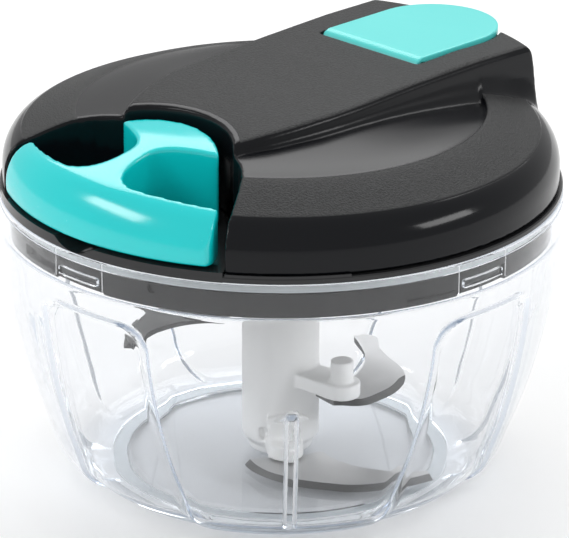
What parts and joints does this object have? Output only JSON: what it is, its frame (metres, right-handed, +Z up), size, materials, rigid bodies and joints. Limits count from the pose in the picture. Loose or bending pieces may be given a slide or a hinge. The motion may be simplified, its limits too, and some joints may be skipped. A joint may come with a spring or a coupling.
{
  "type": "pull cord food chopper",
  "caption": "Hand food chopper: clear bowl with sickle blades on a shaft, and a dark lid with a pull handle on a cord reel and a hinged pouring hatch.",
  "frame": {"origin": "centre of the bowl's foot, at table level", "axes": "+Z up along the blade shaft, handle pulls towards -Y, hatch at +Y"},
  "size_m": [0.1318, 0.1349, 0.0978],
  "materials": {
    "clear_plastic": "clear, polished",
    "silicone": "soft satin",
    "steel": "turned and plated",
    "blade_steel": "brushed flat faces, ground edge",
    "spring_steel": "bright rolled strip",
    "white_plastic": "moulded satin",
    "dark_plastic": "polished sides and dishes, fine grain on top",
    "teal_plastic": "polished",
    "pale_teal_plastic": "semi gloss"
  },
  "bodies": {
    "bowl": {"bowl": "clear_plastic", "foot_ring": "silicone", "pivot_pin": "steel"},
    "seal": {"lid_gasket": "silicone"},
    "lid": {"lid_base": "dark_plastic", "lid_cover": "dark_plastic", "reel_housing": "white_plastic", "reel_axle": "steel", "drive_bush": "steel", "return_spring": "spring_steel", "cord_guide": "white_plastic", "hatch_pin": "steel", "housing_screw_1": "steel", "housing_screw_2": "steel", "housing_screw_3": "steel", "housing_screw_4": "steel", "cover_screw_1": "steel", "cover_screw_2": "steel", "cover_screw_3": "steel", "cover_screw_4": "steel"},
    "handle": {"pull_handle": "teal_plastic"},
    "hatch": {"hatch_flap": "pale_teal_plastic"},
    "reel": {"cord_reel": "white_plastic"},
    "ratchet_pawl_a": {"pawl_a": "white_plastic"},
    "ratchet_pawl_b": {"pawl_b": "white_plastic"},
    "drive": {"drive_cup": "white_plastic", "shaft_clip": "spring_steel"},
    "blades": {"blade_shaft": "white_plastic", "lower_blade": "blade_steel", "middle_blade": "blade_steel", "upper_blade": "blade_steel"}
  },
  "joints": [
    {"name": "handle_pull", "type": "slide", "parent": "lid", "child": "handle", "axis": [0, -1, 0], "range_m": [0, 0.3], "stiffness_N_per_m": 20, "springref_m": -0.3},
    {"name": "lid_lift", "type": "slide", "parent": "bowl", "child": "seal", "axis": [0, 0, 1], "range_m": [0, 0.1]},
    {"name": "lid_twist", "type": "hinge", "parent": "seal", "child": "lid", "pos_m": [0, 0, 0.07], "axis": [0, 0, 1], "range_deg": [0, 12]},
    {"name": "reel_spin", "type": "hinge", "parent": "lid", "child": "reel", "pos_m": [0, 0, 0.07], "axis": [0, 0, 1], "range_deg": [-1050, 0]},
    {"name": "drive_spin", "type": "hinge", "parent": "lid", "child": "drive", "pos_m": [0, 0, 0.07], "axis": [0, 0, 1], "range_deg": [-1050, 0]},
    {"name": "blade_spin", "type": "hinge", "parent": "bowl", "child": "blades", "pos_m": [0, 0, 0.07], "axis": [0, 0, 1], "range_deg": [-1050, 0]},
    {"name": "pawl_a_swing", "type": "hinge", "parent": "reel", "child": "ratchet_pawl_a", "pos_m": [0.0085, 0, 0.071], "axis": [0, 0, 1], "range_deg": [-12, 0], "stiffness_Nm_per_rad": 0.001, "springref_deg": 5.73},
    {"name": "pawl_b_swing", "type": "hinge", "parent": "reel", "child": "ratchet_pawl_b", "pos_m": [-0.0085, 0, 0.071], "axis": [0, 0, 1], "range_deg": [-12, 0], "stiffness_Nm_per_rad": 0.001, "springref_deg": 5.73},
    {"name": "hatch_hinge", "type": "hinge", "parent": "lid", "child": "hatch", "pos_m": [0, 0.0313, 0.0956], "axis": [1, 0, 0], "range_deg": [0, 95]}
  ],
  "couplings": [
    {"joint": "reel_spin", "follows": "handle_pull", "rad_per_m": -61},
    {"joint": "drive_spin", "follows": "handle_pull", "rad_per_m": -61},
    {"joint": "blade_spin", "follows": "handle_pull", "rad_per_m": -61}
  ]
}
